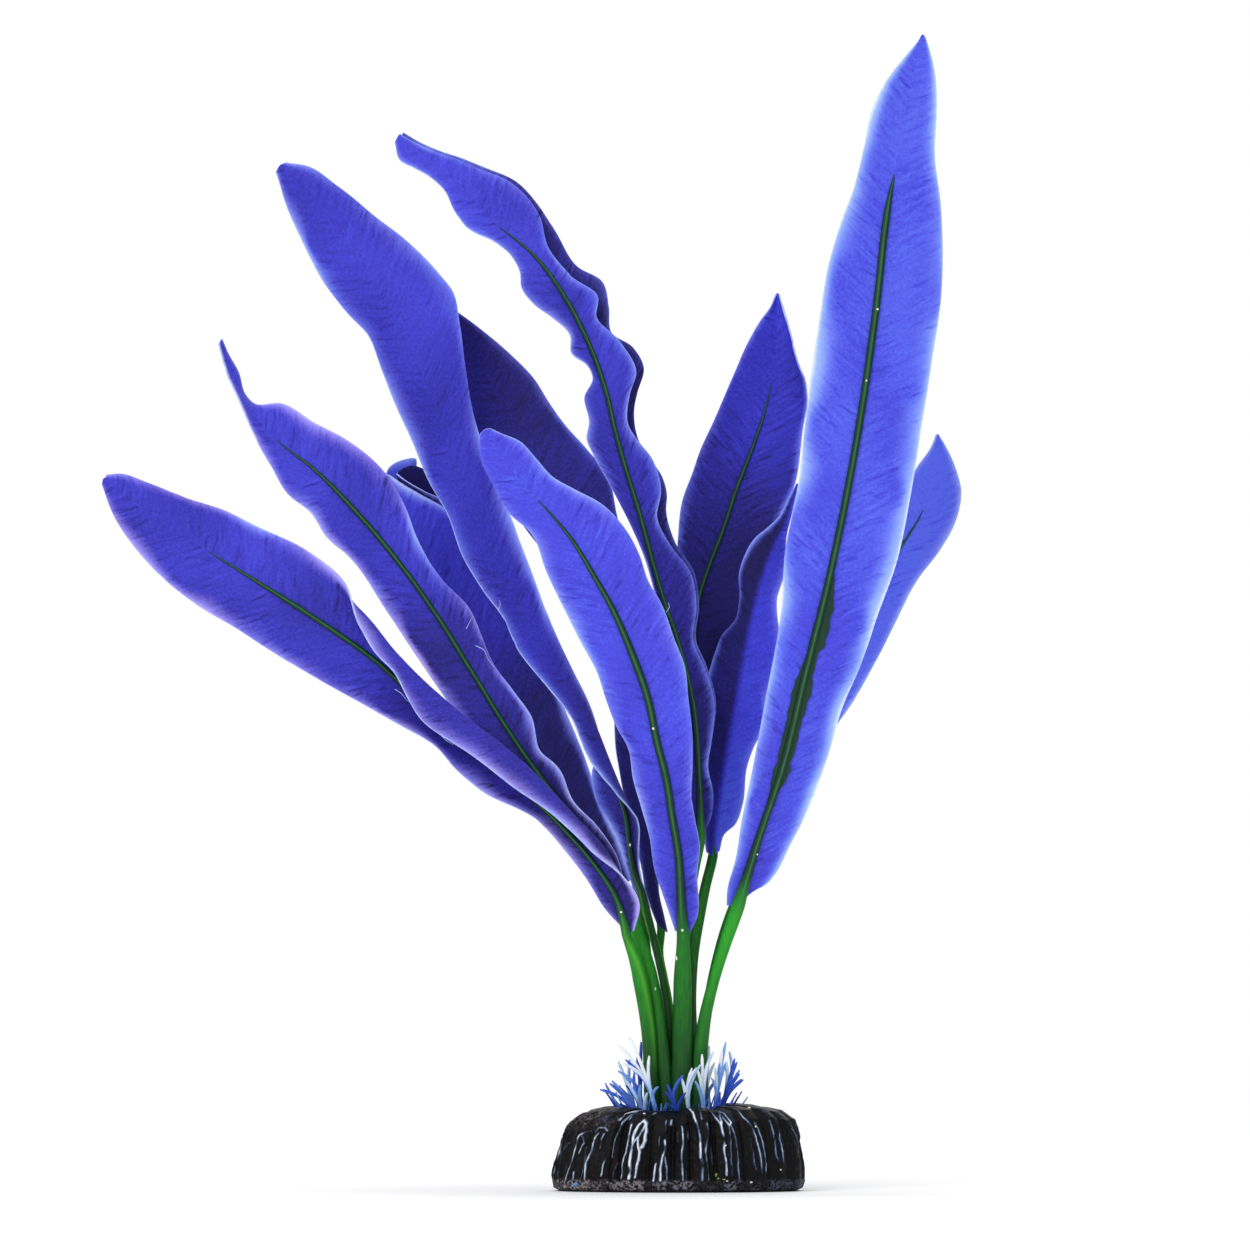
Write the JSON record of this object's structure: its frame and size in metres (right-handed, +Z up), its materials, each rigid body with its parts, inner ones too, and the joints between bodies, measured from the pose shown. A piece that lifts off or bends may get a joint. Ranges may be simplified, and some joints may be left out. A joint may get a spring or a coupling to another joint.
{
  "type": "artificial echinodorus aquarium plant",
  "caption": "Upright aquarium plant with long cloth blades on green plastic stems, fanned from a weighted base shaped like ribbed rock with forked plastic grass round the stems' feet.",
  "frame": {"origin": "middle of the base's flat underside", "axes": "+Z up along the stems, +X to the viewer's right when the plant is seen from its front, and -Y towards the front"},
  "size_m": [0.2224, 0.077, 0.3],
  "materials": {
    "dyed_cloth": "matt woven cloth, blue-violet in the middle and pale blue to white along the edges",
    "green_plastic": "semi-gloss moulded plastic, darker towards the foot",
    "painted_rock": "glossy near-black with blue-grey and white brushed on its ridges",
    "white_plastic": "satin",
    "pale_blue_plastic": "satin",
    "blue_plastic": "satin"
  },
  "bodies": {
    "root": {"base": "painted_rock", "blade_far_left": "dyed_cloth", "blade_left": "dyed_cloth", "blade_rolled": "dyed_cloth", "blade_nested": "dyed_cloth", "blade_turned": "dyed_cloth", "blade_wavy_front": "dyed_cloth", "blade_wavy_back": "dyed_cloth", "blade_rear_left": "dyed_cloth", "blade_front": "dyed_cloth", "blade_rear_right": "dyed_cloth", "blade_tall": "dyed_cloth", "blade_far_right": "dyed_cloth", "blade_short_right": "dyed_cloth", "stem_far_left": "green_plastic", "stem_left": "green_plastic", "stem_rolled": "green_plastic", "stem_nested": "green_plastic", "stem_turned": "green_plastic", "stem_wavy_front": "green_plastic", "stem_wavy_back": "green_plastic", "stem_rear_left": "green_plastic", "stem_front": "green_plastic", "stem_rear_right": "green_plastic", "stem_tall": "green_plastic", "stem_far_right": "green_plastic", "stem_short_right": "green_plastic", "sprig_01": "pale_blue_plastic", "sprig_02": "blue_plastic", "sprig_03": "white_plastic", "sprig_04": "pale_blue_plastic", "sprig_05": "blue_plastic", "sprig_06": "white_plastic", "sprig_07": "pale_blue_plastic", "sprig_08": "blue_plastic", "sprig_09": "white_plastic", "sprig_10": "pale_blue_plastic", "sprig_11": "blue_plastic", "sprig_12": "white_plastic", "sprig_13": "pale_blue_plastic", "sprig_14": "blue_plastic"}
  },
  "joints": []
}
